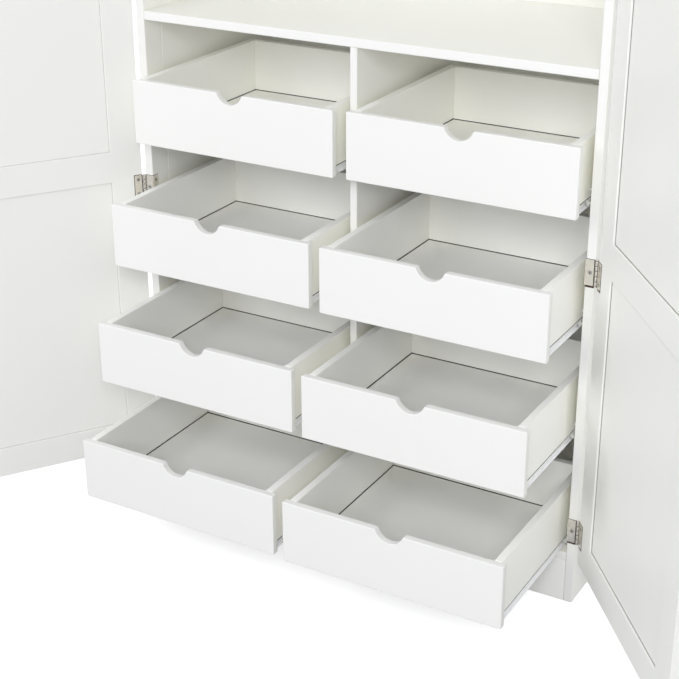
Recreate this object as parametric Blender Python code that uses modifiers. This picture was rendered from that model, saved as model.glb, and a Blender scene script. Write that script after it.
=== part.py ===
"""Two-door armoire with eight drawers: carcass, doors on wrap-round hinges, drawers on roller slides.

Metres, +Z up, front towards -Y. The origin is on the floor, midway across and midway through the
depth. It stands with both doors open and every drawer pulled part of the way out.
"""

import math

import bmesh
import bpy

# Carcass
overall_width = 1.000
overall_height = 1.880
carcass_depth = 0.480
board = 0.018
divider_thickness = 0.015
back_thickness = 0.005
post_depth = 0.055
plinth_height = 0.093
plinth_thickness = 0.015
support_thickness = 0.018
top_overhang = 0.010
joint_gap = 0.0003
edge_radius = 0.0012
top_edge_radius = 0.003

# Drawers, counted from the bottom row up
row_count = 4
row_pitch = 0.2355
front_height = 0.132
front_thickness = 0.015
front_side_gap = 0.0055
front_lift = 0.0015
space_over_top_row = 0.108
slide_space = 0.015
box_side_thickness = 0.015
box_back_thickness = 0.014
box_floor_thickness = 0.004
box_height = 0.116
box_rear_space = 0.051
scoop_radius = 0.030
scoop_rise = 0.008
scoop_lip_radius = 0.005
pulled_out = {
    "left": (0.293, 0.217, 0.149, 0.057),
    "right": (0.300, 0.224, 0.154, 0.052),
}

# Slide rails on the carcass
rail_height = 0.028
rail_flange = 0.009
rail_sheet = 0.0012
rail_below_box = 0.006
rail_setback = 0.018
rail_rear_space = 0.012

# Doors
door_thickness = 0.018
door_gap = 0.003
door_floor_clearance = 0.0975
door_top_clearance = 0.0025
door_edge_reveal = 0.0005
meeting_gap = 0.002
stile_width = 0.066
rail_width = 0.066
mid_rail_centre = 0.756
panel_thickness = 0.009
groove_depth = 0.008
open_angle = {"left": math.radians(123.7), "right": math.radians(128.5)}

# Hinges
hinge_count = 4
hinge_height = 0.050
hinge_from_door_end = 0.067
hinge_outset = 0.0035
barrel_radius = 0.003
leaf_thickness = 0.0012
leaf_width = 0.021

# Knobs and hanging rail
knob_radius = 0.015
knob_projection = 0.026
knob_stem_radius = 0.006
knob_height = 1.000
hanging_rail_radius = 0.0125
hanging_rail_wall = 0.0012
hanging_rail_below_top = 0.075

front_plane = -carcass_depth / 2
back_plane = carcass_depth / 2
inner_half_width = overall_width / 2 - board
back_panel_front = back_plane - joint_gap - back_thickness
inside_back = back_panel_front - joint_gap
floor_board_top = plinth_height + board
opening_width = inner_half_width - divider_thickness / 2
front_width = opening_width - 2 * front_side_gap
box_width = opening_width - 2 * slide_space
box_depth = inside_back - front_plane - front_thickness - joint_gap - box_rear_space
lowest_front = floor_board_top + front_lift
shelf_underside = lowest_front + (row_count - 1) * row_pitch + front_height + space_over_top_row
top_underside = overall_height - board
door_inner_face = front_plane - door_gap
door_outer_face = door_inner_face - door_thickness
door_top = top_underside - door_top_clearance
door_height = door_top - door_floor_clearance
hinge_axis_x = overall_width / 2 + hinge_outset
hinge_axis_y = front_plane - door_gap / 2
sides = {"left": -1, "right": 1}


def new_collection(name, hidden=False):
    collection = bpy.data.collections.new(name)
    bpy.context.scene.collection.children.link(collection)
    collection.hide_render = hidden
    return collection


def paint(name, colour, roughness, metallic=0.0):
    material = bpy.data.materials.new(name)
    material.use_nodes = True
    shader = material.node_tree.nodes["Principled BSDF"]
    shader.inputs["Base Color"].default_value = (*colour, 1.0)
    shader.inputs["Roughness"].default_value = roughness
    shader.inputs["Metallic"].default_value = metallic
    return material


def add_object(name, data, collection, material=None, parent=None):
    piece = bpy.data.objects.new(name, data)
    collection.objects.link(piece)
    if material is not None:
        piece.data.materials.append(material)
    piece.parent = parent
    return piece


def block_mesh(name, size):
    """A box of the given size about its own centre."""
    mesh = bpy.data.meshes.new(name)
    shape = bmesh.new()
    bmesh.ops.create_cube(shape, size=1.0)
    bmesh.ops.scale(shape, vec=size, verts=shape.verts)
    shape.to_mesh(mesh)
    shape.free()
    return mesh


def round_edges(piece, radius, segments=2):
    bevel = piece.modifiers.new("rounded edges", "BEVEL")
    bevel.width = radius
    bevel.segments = segments
    bevel.limit_method = "ANGLE"
    bevel.angle_limit = math.radians(50)


def board_between(name, low, high, material, parent=None, radius=edge_radius):
    """A flat board from its lowest to its highest corner, in its parent's frame."""
    size = [b - a for a, b in zip(low, high)]
    piece = add_object(name, block_mesh(name, size), parts, material, parent)
    piece.location = [(a + b) / 2 for a, b in zip(low, high)]
    round_edges(piece, radius)
    return piece


def cutter_between(name, low, high, parent=None):
    size = [b - a for a, b in zip(low, high)]
    cutter = add_object(name, block_mesh(name, size), cutters, None, parent)
    cutter.location = [(a + b) / 2 for a, b in zip(low, high)]
    cutter.hide_render = True
    cutter.display_type = "WIRE"
    return cutter


def cut_before_rounding(piece, cutter):
    """Cuts the piece, and keeps its edge rounding as the last modifier."""
    cut = piece.modifiers.new(cutter.name, "BOOLEAN")
    cut.operation = "DIFFERENCE"
    cut.object = cutter
    cut.solver = "EXACT"
    piece.modifiers.move(len(piece.modifiers) - 1, len(piece.modifiers) - 2)


def mirrored_span(side, inner, outer):
    """The lowest and highest x between two distances from the middle, on one side."""
    return sorted((sides[side] * inner, sides[side] * outer))


def outline_solid(name, points, thickness, material, parent=None, rounding=0.0):
    """A flat outline in the curve's XY plane, thickened along its Z, made a welded mesh."""
    curve = bpy.data.curves.new(name, "CURVE")
    curve.dimensions = "2D"
    curve.fill_mode = "BOTH"
    curve.extrude = thickness / 2 - rounding
    curve.bevel_depth = rounding
    curve.bevel_resolution = 1
    curve.offset = -rounding
    spline = curve.splines.new("POLY")
    spline.points.add(len(points) - 1)
    for spot, (x, y) in zip(spline.points, points):
        spot.co = (x, y, 0.0, 1.0)
    spline.use_cyclic_u = True
    guide = bpy.data.objects.new(name + "_outline", curve)
    bpy.context.scene.collection.objects.link(guide)
    graph = bpy.context.evaluated_depsgraph_get()
    mesh = bpy.data.meshes.new_from_object(guide.evaluated_get(graph))
    mesh.name = name
    mesh.materials.clear()
    bpy.data.objects.remove(guide)
    bpy.data.curves.remove(curve)
    shape = bmesh.new()
    shape.from_mesh(mesh)
    bmesh.ops.remove_doubles(shape, verts=shape.verts, dist=0.00001)
    bmesh.ops.recalc_face_normals(shape, faces=shape.faces)
    shape.to_mesh(mesh)
    shape.free()
    return add_object(name, mesh, parts, material, parent)


def arc(centre, radius, start, end, steps):
    """Points along an arc, from one angle to the other, both ends included."""
    return [
        (
            centre[0] + radius * math.cos(start + (end - start) * step / steps),
            centre[1] + radius * math.sin(start + (end - start) * step / steps),
        )
        for step in range(steps + 1)
    ]


def build_carcass():
    for side in sides:
        x_low, x_high = mirrored_span(side, inner_half_width, overall_width / 2)
        top = top_underside - joint_gap
        board_between(
            f"front_post_{side}",
            (x_low, front_plane, 0.0),
            (x_high, front_plane + post_depth, top),
            white_paint,
        )
        board_between(
            f"side_panel_{side}",
            (x_low, front_plane + post_depth + joint_gap, 0.0),
            (x_high, back_plane, top),
            white_paint,
        )
    half_inside = inner_half_width - joint_gap
    board_between(
        "top_panel",
        (-overall_width / 2 - top_overhang, door_outer_face - top_overhang, top_underside),
        (overall_width / 2 + top_overhang, back_plane, overall_height),
        white_paint,
        radius=top_edge_radius,
    )
    board_between(
        "fixed_shelf",
        (-half_inside, front_plane, shelf_underside),
        (half_inside, inside_back, shelf_underside + board),
        white_paint,
    )
    board_between(
        "bottom_panel",
        (-half_inside, front_plane, plinth_height),
        (half_inside, inside_back, floor_board_top),
        white_paint,
    )
    board_between(
        "plinth",
        (-half_inside, front_plane, 0.0),
        (half_inside, front_plane + plinth_thickness, plinth_height - joint_gap),
        white_paint,
    )
    board_between(
        "centre_support",
        (-support_thickness / 2, front_plane + plinth_thickness + joint_gap, 0.0),
        (support_thickness / 2, inside_back, plinth_height - joint_gap),
        white_paint,
    )
    board_between(
        "divider",
        (-divider_thickness / 2, front_plane, floor_board_top + joint_gap),
        (divider_thickness / 2, inside_back, shelf_underside - joint_gap),
        white_paint,
    )
    board_between(
        "back_panel",
        (-half_inside, back_panel_front, plinth_height),
        (half_inside, back_panel_front + back_thickness, top_underside - joint_gap),
        white_paint,
        radius=back_thickness / 10,
    )


def build_hanging_rail():
    """A steel tube from side to side, open at both ends."""
    mesh = bpy.data.meshes.new("hanging_rail")
    shape = bmesh.new()
    length = 2 * (inner_half_width - joint_gap)
    bmesh.ops.create_cone(
        shape,
        cap_ends=False,
        segments=32,
        radius1=hanging_rail_radius,
        radius2=hanging_rail_radius,
        depth=length,
    )
    shape.to_mesh(mesh)
    shape.free()
    mesh.shade_smooth()
    mesh.set_sharp_from_angle(angle=math.radians(40))
    tube = add_object("hanging_rail", mesh, parts, steel)
    tube.rotation_euler = (0.0, math.pi / 2, 0.0)
    tube.location = (0.0, 0.0, top_underside - hanging_rail_below_top)
    wall = tube.modifiers.new("tube wall", "SOLIDIFY")
    wall.thickness = hanging_rail_wall
    wall.offset = -1.0


def front_outline():
    """The drawer front seen from before it, with the finger scoop in its top edge."""
    half_width, half_height = front_width / 2, front_height / 2
    reach = scoop_radius + scoop_lip_radius
    lip_drop = scoop_rise + scoop_lip_radius
    lip_x = math.sqrt(reach**2 - lip_drop**2)
    lean = math.atan2(lip_drop, lip_x)
    left_lip = arc(
        (-lip_x, half_height - scoop_lip_radius), scoop_lip_radius, math.pi / 2, lean, 4
    )
    bowl = arc(
        (0.0, half_height + scoop_rise), scoop_radius, math.pi + lean, 2 * math.pi - lean, 16
    )
    right_lip = arc(
        (lip_x, half_height - scoop_lip_radius), scoop_lip_radius, math.pi - lean, math.pi / 2, 4
    )
    corners = [
        (half_width, half_height),
        (half_width, -half_height),
        (-half_width, -half_height),
        (-half_width, half_height),
    ]
    return left_lip[:-1] + bowl + right_lip[1:] + corners


def slide_rail_outline(side):
    """The rail's section: a web on the carcass wall with a flange at the top and at the bottom."""
    inward = -sides[side]
    web_back, web_front, flange_end = joint_gap, joint_gap + rail_sheet, joint_gap + rail_flange
    half = rail_height / 2
    section = [
        (web_back, half),
        (flange_end, half),
        (flange_end, half - rail_sheet),
        (web_front, half - rail_sheet),
        (web_front, -half + rail_sheet),
        (flange_end, -half + rail_sheet),
        (flange_end, -half),
        (web_back, -half),
    ]
    return [(inward * x, y) for x, y in section]


def build_drawer(column, row):
    """A front with its three-sided box and floor, and the two carcass rails that it runs on."""
    name = f"{column}_{row + 1}"
    middle = sides[column] * (divider_thickness / 2 + opening_width / 2)
    front_low = lowest_front + row * row_pitch
    front_top = front_low + front_height
    runner = bpy.data.objects.new(f"drawer_{name}_runner", None)
    parts.objects.link(runner)
    runner.location = (middle, front_plane - pulled_out[column][row], front_top)

    front = outline_solid(
        f"drawer_front_{name}", front_outline(), front_thickness, white_paint, runner, edge_radius
    )
    front.rotation_euler = (math.pi / 2, 0.0, 0.0)
    front.location = (0.0, front_thickness / 2, -front_height / 2)

    box_front = front_thickness + joint_gap
    box = board_between(
        f"drawer_box_{name}",
        (-box_width / 2, box_front, -box_height),
        (box_width / 2, box_front + box_depth, 0.0),
        white_paint,
        runner,
    )
    clear = 0.020
    inside = cutter_between(
        f"drawer_{name}_inside",
        (-box_width / 2 + box_side_thickness, box_front - clear, -box_height + box_floor_thickness),
        (box_width / 2 - box_side_thickness, box_front + box_depth - box_back_thickness, clear),
        runner,
    )
    cut_before_rounding(box, inside)

    rail_start = front_plane + rail_setback
    rail_end = front_plane + front_thickness + box_depth - rail_rear_space
    rail_centre = front_top - box_height - rail_below_box + rail_height / 2
    for side in sides:
        rail = outline_solid(
            f"slide_rail_{name}_{side}", slide_rail_outline(side), rail_end - rail_start, white_steel
        )
        rail.rotation_euler = (math.pi / 2, 0.0, 0.0)
        wall = middle + sides[side] * opening_width / 2
        rail.location = (wall, (rail_start + rail_end) / 2, rail_centre)


def door_span(side, from_hinge_edge, to_hinge_edge):
    """Lowest and highest x, about the hinge axis, between two distances from the hinge-side edge."""
    edge = overall_width / 2 - door_edge_reveal - hinge_axis_x
    return sorted((sides[side] * (edge - from_hinge_edge), sides[side] * (edge - to_hinge_edge)))


def build_knob(side, door, across):
    """A turned mushroom knob; the profile runs from its face back to the door."""
    stem = knob_stem_radius
    profile = [
        (0.0, knob_projection),
        (knob_radius * 0.55, knob_projection - 0.0006),
        (knob_radius * 0.85, knob_projection - 0.0022),
        (knob_radius, knob_projection - 0.0055),
        (knob_radius * 0.93, knob_projection - 0.0085),
        (knob_radius * 0.66, knob_projection - 0.0115),
        (stem * 1.05, knob_projection - 0.0145),
        (stem, knob_projection - 0.0180),
        (stem * 1.10, 0.0030),
        (stem * 1.55, 0.0010),
        (stem * 1.60, 0.0),
        (0.0, 0.0),
    ]
    mesh = bpy.data.meshes.new(f"knob_{side}")
    edges = [(spot, spot + 1) for spot in range(len(profile) - 1)]
    mesh.from_pydata([(radius, 0.0, height) for radius, height in profile], edges, [])
    knob = add_object(f"knob_{side}", mesh, parts, steel, door)
    turn = knob.modifiers.new("turned", "SCREW")
    turn.steps = turn.render_steps = 24
    turn.use_merge_vertices = True
    turn.merge_threshold = 0.00001
    turn.use_smooth_shade = True
    knob.rotation_euler = (math.pi / 2, 0.0, 0.0)
    outer_face = door_outer_face - hinge_axis_y
    knob.location = (across, outer_face - joint_gap, knob_height)


def build_hinge_leaf(side, door, index, centre):
    """A leaf on the door's inner face with its barrel on the hinge axis, as one body."""
    name = f"hinge_leaf_{side}_{index + 1}"
    face = door_inner_face - hinge_axis_y
    reach = -sides[side] * leaf_width
    x_low, x_high = sorted((0.0, reach))
    leaf = board_between(
        name,
        (x_low, face + joint_gap, centre - hinge_height / 2),
        (x_high, face + joint_gap + leaf_thickness, centre + hinge_height / 2),
        steel,
        door,
        radius=leaf_thickness / 4,
    )
    leaf.modifiers.remove(leaf.modifiers["rounded edges"])
    mesh = bpy.data.meshes.new(f"{name}_barrel")
    shape = bmesh.new()
    bmesh.ops.create_cone(
        shape,
        cap_ends=True,
        segments=16,
        radius1=barrel_radius,
        radius2=barrel_radius,
        depth=hinge_height,
    )
    shape.to_mesh(mesh)
    shape.free()
    barrel = add_object(f"{name}_barrel", mesh, cutters, None, door)
    barrel.location = (0.0, 0.0, centre)
    barrel.hide_render = True
    barrel.display_type = "WIRE"
    join = leaf.modifiers.new("barrel", "BOOLEAN")
    join.operation = "UNION"
    join.object = barrel
    join.solver = "EXACT"


def build_door(side):
    """A framed door turned about its hinge axis; its pieces are placed as if it were shut."""
    door = bpy.data.objects.new(f"door_{side}_hinge_axis", None)
    parts.objects.link(door)
    door.location = (sides[side] * hinge_axis_x, hinge_axis_y, 0.0)
    door.rotation_euler = (0.0, 0.0, sides[side] * open_angle[side])

    inner, outer = door_inner_face - hinge_axis_y, door_outer_face - hinge_axis_y
    width = overall_width / 2 - door_edge_reveal - meeting_gap / 2
    bottom, top = door_floor_clearance, door_top
    x_low, x_high = door_span(side, 0.0, width)
    frame = board_between(
        f"door_frame_{side}", (x_low, outer, bottom), (x_high, inner, top), white_paint, door
    )
    panel_fields = {
        "lower": (bottom + rail_width, mid_rail_centre - rail_width / 2),
        "upper": (mid_rail_centre + rail_width / 2, top - rail_width),
    }
    field_low, field_high = door_span(side, stile_width, width - stile_width)
    middle = (inner + outer) / 2
    clear = 0.010
    for field, (z_low, z_high) in panel_fields.items():
        opening = cutter_between(
            f"door_{side}_{field}_opening",
            (field_low, outer - clear, z_low),
            (field_high, inner + clear, z_high),
            door,
        )
        groove_half = panel_thickness / 2 + joint_gap
        groove = cutter_between(
            f"door_{side}_{field}_groove",
            (field_low - groove_depth, middle - groove_half, z_low - groove_depth),
            (field_high + groove_depth, middle + groove_half, z_high + groove_depth),
            door,
        )
        cut_before_rounding(frame, opening)
        cut_before_rounding(frame, groove)
        tongue = groove_depth - joint_gap
        board_between(
            f"door_panel_{field}_{side}",
            (field_low - tongue, middle - panel_thickness / 2, z_low - tongue),
            (field_high + tongue, middle + panel_thickness / 2, z_high + tongue),
            white_paint,
            door,
            radius=edge_radius / 2,
        )
    stile_middle = sum(door_span(side, width - stile_width / 2, width - stile_width / 2)) / 2
    build_knob(side, door, stile_middle)
    spacing = (door_height - 2 * hinge_from_door_end) / (hinge_count - 1)
    for index in range(hinge_count):
        build_hinge_leaf(side, door, index, bottom + hinge_from_door_end + index * spacing)


for old in list(bpy.data.objects):
    bpy.data.objects.remove(old)
parts = new_collection("armoire")
cutters = new_collection("cutters", hidden=True)
white_paint = paint("white_paint", (0.86, 0.86, 0.84), 0.38)
white_steel = paint("white_coated_steel", (0.82, 0.82, 0.80), 0.45)
steel = paint("satin_nickel", (0.62, 0.59, 0.54), 0.32, 1.0)

build_carcass()
build_hanging_rail()
for column in sides:
    for row in range(row_count):
        build_drawer(column, row)
for side in sides:
    build_door(side)
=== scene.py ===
import math

import bpy
import numpy as np
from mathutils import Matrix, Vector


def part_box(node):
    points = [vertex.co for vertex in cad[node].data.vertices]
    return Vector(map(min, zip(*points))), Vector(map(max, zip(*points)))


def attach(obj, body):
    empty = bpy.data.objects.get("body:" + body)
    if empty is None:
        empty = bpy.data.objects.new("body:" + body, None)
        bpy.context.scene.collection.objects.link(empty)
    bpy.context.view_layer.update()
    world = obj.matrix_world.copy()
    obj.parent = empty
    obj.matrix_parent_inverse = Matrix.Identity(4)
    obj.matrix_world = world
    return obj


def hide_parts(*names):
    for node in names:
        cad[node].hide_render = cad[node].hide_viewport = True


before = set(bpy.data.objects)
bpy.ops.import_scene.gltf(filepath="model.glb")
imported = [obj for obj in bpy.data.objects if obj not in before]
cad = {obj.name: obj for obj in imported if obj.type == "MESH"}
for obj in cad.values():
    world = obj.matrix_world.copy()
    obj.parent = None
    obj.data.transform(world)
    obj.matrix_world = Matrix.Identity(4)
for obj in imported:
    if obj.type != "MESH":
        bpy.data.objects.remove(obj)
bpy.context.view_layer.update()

# Camera and studio: a standing viewer to the right of the open armoire, a pale floor, white air and five
# round softboxes. Tones go without a film curve and are lifted a little in the shade, and light is followed
# through more diffuse bounces than usual, because white boxes pass it on so well.
bpy.context.scene.view_settings.view_transform = "Standard"
bpy.context.scene.view_settings.gamma = 1.18
bpy.context.scene.cycles.diffuse_bounces = 10

lens = bpy.data.cameras.new("camera")
lens.sensor_width = 36.0
lens.lens = 78.62
lens.shift_x, lens.shift_y = -0.0184, -0.0156
camera = bpy.data.objects.new("camera", lens)
camera.location = (1.3447, -2.6105, 1.6995)
camera.rotation_euler = (math.radians(90.0 - 23.97), 0.0, math.radians(29.62))
bpy.context.scene.collection.objects.link(camera)
bpy.context.scene.camera = camera


def node(tree, kind, feeds=None, **settings):
    """Adds one shader node with its settings. Each feed is a plain value, or the socket that drives it."""
    made = tree.nodes.new("ShaderNode" + kind)
    for key, value in settings.items():
        setattr(made, key, value)
    for key, value in (feeds or {}).items():
        if isinstance(value, bpy.types.NodeSocket):
            tree.links.new(value, made.inputs[key])
        else:
            made.inputs[key].default_value = value
    return made


air = bpy.data.worlds.new("studio_air")
air.use_nodes = True
backdrop = air.node_tree.nodes["Background"]
backdrop.inputs["Color"].default_value = (0.980, 0.984, 1.0, 1.0)
seen = node(air.node_tree, "LightPath").outputs["Is Camera Ray"]
strength = node(air.node_tree, "MapRange", {"Value": seen, "To Min": 0.50, "To Max": 1.03})
air.node_tree.links.new(strength.outputs["Result"], backdrop.inputs["Strength"])
bpy.context.scene.world = air

softboxes = {
    "softbox_right": ((1.85, -3.85, 2.75), 86.0, 1.8),
    "softbox_left": ((-2.10, -3.60, 2.70), 55.0, 2.0),
    "softbox_low": ((0.90, -4.30, 0.75), 9.0, 1.8),
    "softbox_side": ((4.00, 0.90, 1.70), 46.0, 1.8),
    "softbox_rear": ((-2.80, 3.00, 3.00), 40.0, 2.2),
}
aimed_at = (0.0, -0.1, 0.75)
for label, (spot, watts, width) in softboxes.items():
    lamp = bpy.data.lights.new(label, "AREA")
    lamp.shape, lamp.size, lamp.energy = "DISK", width, watts
    lamp.color = (0.972, 0.978, 1.0)
    softbox = bpy.data.objects.new(label, lamp)
    softbox.location = spot
    aim = np.subtract(aimed_at, spot)
    softbox.rotation_euler = (
        math.acos(-aim[2] / np.linalg.norm(aim)),
        0.0,
        math.atan2(-aim[0], aim[1]),
    )
    bpy.context.scene.collection.objects.link(softbox)

floor_half, floor_drop = 30.0, 0.0004
floor_mesh = bpy.data.meshes.new("floor")
floor_mesh.from_pydata(
    [(x * floor_half, y * floor_half, -floor_drop) for x, y in ((-1, -1), (1, -1), (1, 1), (-1, 1))],
    [],
    [(0, 1, 2, 3)],
)
floor = bpy.data.objects.new("floor", floor_mesh)
bpy.context.scene.collection.objects.link(floor)
floor_paint = bpy.data.materials.new("pale_floor")
floor_paint.use_nodes = True
tree = floor_paint.node_tree
place = node(tree, "TexCoord").outputs["Object"]
grit = node(tree, "TexNoise", {"Vector": place, "Scale": 160.0, "Detail": 3.0})
floor_tone = node(tree, "ValToRGB", {"Fac": grit.outputs["Fac"]})
floor_tone.color_ramp.elements[0].color = (0.925, 0.925, 0.925, 1.0)
floor_tone.color_ramp.elements[1].color = (0.955, 0.955, 0.955, 1.0)
seen = node(tree, "LightPath").outputs["Is Camera Ray"]
shader = tree.nodes["Principled BSDF"]
bounced = node(tree, "Mix", {0: seen}, data_type="RGBA")
bounced.inputs[6].default_value = (0.50, 0.50, 0.50, 1.0)
tree.links.new(floor_tone.outputs["Color"], bounced.inputs[7])
tree.links.new(bounced.outputs[2], shader.inputs["Base Color"])
tree.links.new(seen, shader.inputs["Emission Color"])
shader.inputs["Emission Strength"].default_value = 0.6
shader.inputs["Roughness"].default_value = 0.85
floor_mesh.materials.append(floor_paint)


# Carcass boards: medium-density fibreboard, sprayed all round with a white satin lacquer over a filled
# primer. The two posts, sides, shelf, bottom, plinth, support, divider and top are glued and dowelled;
# the spray leaves a fine orange peel. A lighter tone along the eased edges is a painted highlight, a
# darker tint in corners and recesses is painted shade, and faces that look forward are painted darker
# as shade.
def open_group(name, numbers, outputs):
    """Starts a node group: numbers become inputs with those values, and outputs are name and socket kind."""
    group = bpy.data.node_groups.new(name, "ShaderNodeTree")
    for label, value in numbers.items():
        group.interface.new_socket(
            name=label, in_out="INPUT", socket_type="NodeSocketFloat"
        ).default_value = value
    for label, kind in outputs.items():
        group.interface.new_socket(name=label, in_out="OUTPUT", socket_type="NodeSocket" + kind)
    return group, group.nodes.new("NodeGroupInput").outputs, group.nodes.new("NodeGroupOutput").inputs


def mixed(tree, share, first, second, **settings):
    """The colour that goes from the first to the second as share goes from 0 to 1."""
    made = node(tree, "Mix", {0: share}, data_type="RGBA", **settings)
    for place, colour in ((6, first), (7, second)):
        if isinstance(colour, bpy.types.NodeSocket):
            tree.links.new(colour, made.inputs[place])
        else:
            made.inputs[place].default_value = (*colour, 1.0)
    return made.outputs[2]


def ranged(tree, value, low, high, to_low, to_high):
    """The value, moved in proportion from one range to another and held at its ends."""
    return node(
        tree,
        "MapRange",
        {"Value": value, "From Min": low, "From Max": high, "To Min": to_low, "To Max": to_high},
    ).outputs["Result"]


spray, asked, gives = open_group(
    "spray_film",
    {"Peel": 420.0, "Cloud": 2.6},
    {"Height": "Float", "Cloud": "Float", "Smudge": "Float"},
)
place = node(spray, "TexCoord").outputs["Object"]
peel = node(spray, "TexNoise", {"Vector": place, "Scale": asked["Peel"], "Detail": 2.0, "Roughness": 0.4})
swell = node(spray, "TexNoise", {"Vector": place, "Scale": 38.0, "Detail": 1.0})
cloud = node(spray, "TexNoise", {"Vector": place, "Scale": asked["Cloud"], "Detail": 3.0, "Roughness": 0.55})
smudge = node(spray, "TexNoise", {"Vector": place, "Scale": 11.0, "Detail": 7.0, "Roughness": 0.72})
spray.links.new(
    node(
        spray,
        "Math",
        {0: swell.outputs["Fac"], 1: 0.6, 2: peel.outputs["Fac"]},
        operation="MULTIPLY_ADD",
    ).outputs[0],
    gives["Height"],
)
spray.links.new(ranged(spray, cloud.outputs["Fac"], 0.35, 0.65, 0.0, 1.0), gives["Cloud"])
spray.links.new(ranged(spray, smudge.outputs["Fac"], 0.6, 0.74, 0.0, 1.0), gives["Smudge"])

# The edge mask here drives the painted edge highlight of the lacquers; the rounded normal is real shading.
eased, asked, gives = open_group("eased_edge", {"Radius": 0.002}, {"Edge": "Float", "Normal": "Vector"})
rounding = node(eased, "Bevel", {"Radius": asked["Radius"]}, samples=4).outputs["Normal"]
facing = node(
    eased,
    "VectorMath",
    {0: rounding, 1: node(eased, "NewGeometry").outputs["Normal"]},
    operation="DOT_PRODUCT",
)
eased.links.new(ranged(eased, facing.outputs["Value"], 0.995, 0.82, 0.0, 1.0), gives["Edge"])
eased.links.new(rounding, gives["Normal"])

# Painted shade: ambient occlusion gives a mask that grows where other surfaces come close, for corners and
# gaps.
corner_shade_group, asked, gives = open_group("painted_corner_shade", {"Reach": 0.05}, {"Depth": "Float"})
openness = node(corner_shade_group, "AmbientOcclusion", {"Distance": asked["Reach"]}, samples=6).outputs["AO"]
corner_shade_group.links.new(ranged(corner_shade_group, openness, 0.75, 0.15, 0.0, 1.0), gives["Depth"])


def use(tree, group, **numbers):
    """Places a node group in a material with its own numbers, and returns its outputs."""
    made = node(tree, "Group", node_tree=group)
    for label, value in numbers.items():
        made.inputs[label].default_value = value
    return made.outputs


def lacquer(
    name,
    white,
    shade,
    painted_edge_shading,
    corner,
    sheen,
    peel=420.0,
    relief=0.00006,
    radius=0.002,
    edge_shading_share=0.85,
    corner_shade_reach=0.09,
    forward_face_shade=None,
):
    """Sprayed or coated white: clouds of a slightly darker white and a fine orange peel, with painted light
    and shade. Eased edges take the edge tone, a painted highlight where it is lighter than the white and
    painted shade where it is darker; corners and recesses are tinted towards the corner colour as painted
    shade; and where a forward face tone is given, faces that look forward take it as painted shade."""
    made = bpy.data.materials.new(name)
    made.use_nodes = True
    tree = made.node_tree
    film = use(tree, spray, Peel=peel)
    edge = use(tree, eased, Radius=radius)
    corner_shade = use(tree, corner_shade_group, Reach=corner_shade_reach)
    colour = mixed(tree, ranged(tree, film["Cloud"], 0.0, 1.0, 0.0, 0.8), white, shade)
    # Painted shade: faces that look forward, into the front lamps' light, are turned to a darker tone.
    if forward_face_shade:
        forward = node(tree, "SeparateXYZ", {0: node(tree, "NewGeometry").outputs["Normal"]}).outputs["Y"]
        colour = mixed(tree, ranged(tree, forward, -0.8, -0.95, 0.0, 1.0), colour, forward_face_shade)
    # Painted highlight: eased edges take the edge tone; where that tone is darker than the white, it is
    # painted shade.
    colour = mixed(tree, ranged(tree, edge["Edge"], 0.0, 1.0, 0.0, edge_shading_share), colour, painted_edge_shading)
    # Painted shade: corners and recesses are tinted towards the darker corner colour.
    colour = mixed(tree, ranged(tree, corner_shade["Depth"], 0.0, 1.0, 0.0, 0.85), colour, corner)
    shader = tree.nodes["Principled BSDF"]
    tree.links.new(colour, shader.inputs["Base Color"])
    sheen_low = ranged(tree, film["Cloud"], 0.0, 1.0, sheen - 0.03, sheen + 0.03)
    dulled = node(tree, "Math", {0: film["Smudge"], 1: 0.07, 2: sheen_low}, operation="MULTIPLY_ADD")
    tree.links.new(dulled.outputs[0], shader.inputs["Roughness"])
    grained = node(
        tree,
        "Bump",
        {"Height": film["Height"], "Normal": edge["Normal"], "Strength": 0.6, "Distance": relief},
    )
    tree.links.new(grained.outputs["Normal"], shader.inputs["Normal"])
    return made


board_white = lacquer(
    "white_lacquered_board",
    white=(0.878, 0.877, 0.838),
    shade=(0.866, 0.865, 0.822),
    painted_edge_shading=(0.890, 0.890, 0.865),
    corner=(0.845, 0.838, 0.752),
    sheen=0.42,
    radius=0.0028,
    edge_shading_share=0.5,
    forward_face_shade=(0.840, 0.841, 0.821),
)
# The plinth takes a lighter copy of the board lacquer: painted light that brightens it in its low place by
# the floor.
plinth_white_painted_lighter = lacquer(
    "white_lacquer_painted_lighter_plinth",
    white=(0.930, 0.928, 0.900),
    shade=(0.918, 0.916, 0.886),
    painted_edge_shading=(0.940, 0.940, 0.920),
    corner=(0.900, 0.895, 0.840),
    sheen=0.42,
    radius=0.0028,
)
carcass_boards = [
    "front_post_left",
    "front_post_right",
    "side_panel_left",
    "side_panel_right",
    "top_panel",
    "fixed_shelf",
    "bottom_panel",
    "centre_support",
    "divider",
]


def paint(names, material):
    """Gives packed boards their finish, as their only slot, in place of the slots that they had."""
    for name in names:
        cad[name].data.materials.clear()
        cad[name].data.materials.append(material)


paint(carcass_boards, board_white)
paint(["plinth"], plinth_white_painted_lighter)


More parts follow.
